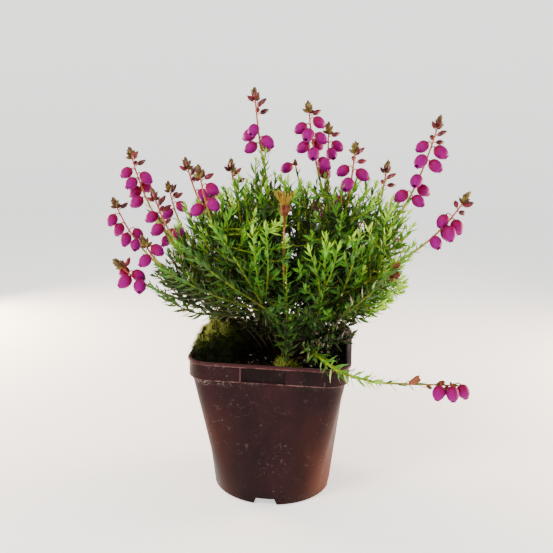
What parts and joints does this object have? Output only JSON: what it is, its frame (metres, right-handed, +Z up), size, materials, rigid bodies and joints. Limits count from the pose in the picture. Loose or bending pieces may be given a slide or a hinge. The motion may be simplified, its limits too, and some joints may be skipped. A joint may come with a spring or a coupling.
{
  "type": "potted irish heath",
  "caption": "Bushy potted heath with narrow leaves and nodding magenta urn flowers on sprays, in a square-topped brown nursery pot.",
  "frame": {"origin": "on the ground under the middle of the pot's standing ring, at the bounding box's bottom centre", "axes": "+Z up out of the pot, -Y towards the side with the label slot, +X to its right seen from the front"},
  "size_m": [0.2425, 0.161, 0.27],
  "materials": {
    "pot_plastic": "satin",
    "compost": "matte",
    "moss": "matte",
    "leaf": "matte",
    "flower": "satin",
    "withered": "matte"
  },
  "bodies": {
    "root": {"compost": "compost", "flower_spray_back_left": "flower", "flower_spray_back_left_low": "flower", "flower_spray_back_middle_left": "flower", "flower_spray_back_middle_right": "flower", "flower_spray_back_right": "flower", "flower_spray_back_right_low": "flower", "flower_spray_left_back": "flower", "flower_spray_left_far": "flower", "flower_spray_left_inner": "flower", "flower_spray_left_low": "flower", "flower_spray_left_mid": "flower", "flower_spray_left_tall": "flower", "flower_spray_right_inner": "flower", "flower_spray_right_low": "flower", "flower_spray_right_tall": "flower", "flower_spray_top_back": "flower", "flower_spray_top_left": "flower", "flower_spray_top_right": "flower", "flower_spray_top_small": "flower", "flower_spray_trailing": "flower", "flower_spray_upper_left": "flower", "flower_spray_upper_left_front": "flower", "flower_spray_young_left": "flower", "flower_spray_young_right": "flower", "leafy_stem_back_left": "leaf", "leafy_stem_back_left_low": "leaf", "leafy_stem_back_middle_left": "leaf", "leafy_stem_back_middle_right": "leaf", "leafy_stem_back_right": "leaf", "leafy_stem_back_right_low": "leaf", "leafy_stem_left_back": "leaf", "leafy_stem_left_far": "leaf", "leafy_stem_left_inner": "leaf", "leafy_stem_left_low": "leaf", "leafy_stem_left_mid": "leaf", "leafy_stem_left_tall": "leaf", "leafy_stem_low_left": "leaf", "leafy_stem_low_middle": "leaf", "leafy_stem_low_right": "leaf", "leafy_stem_right_inner": "leaf", "leafy_stem_right_low": "leaf", "leafy_stem_right_tall": "leaf", "leafy_stem_top_back": "leaf", "leafy_stem_top_left": "leaf", "leafy_stem_top_right": "leaf", "leafy_stem_top_small": "leaf", "leafy_stem_trailing": "leaf", "leafy_stem_upper_left": "leaf", "leafy_stem_upper_left_front": "leaf", "leafy_stem_withered": "leaf", "leafy_stem_young_left": "leaf", "leafy_stem_young_right": "leaf", "moss_cushion": "moss", "moss_tuft": "moss", "pot": "pot_plastic", "withered_head": "withered"}
  },
  "joints": []
}
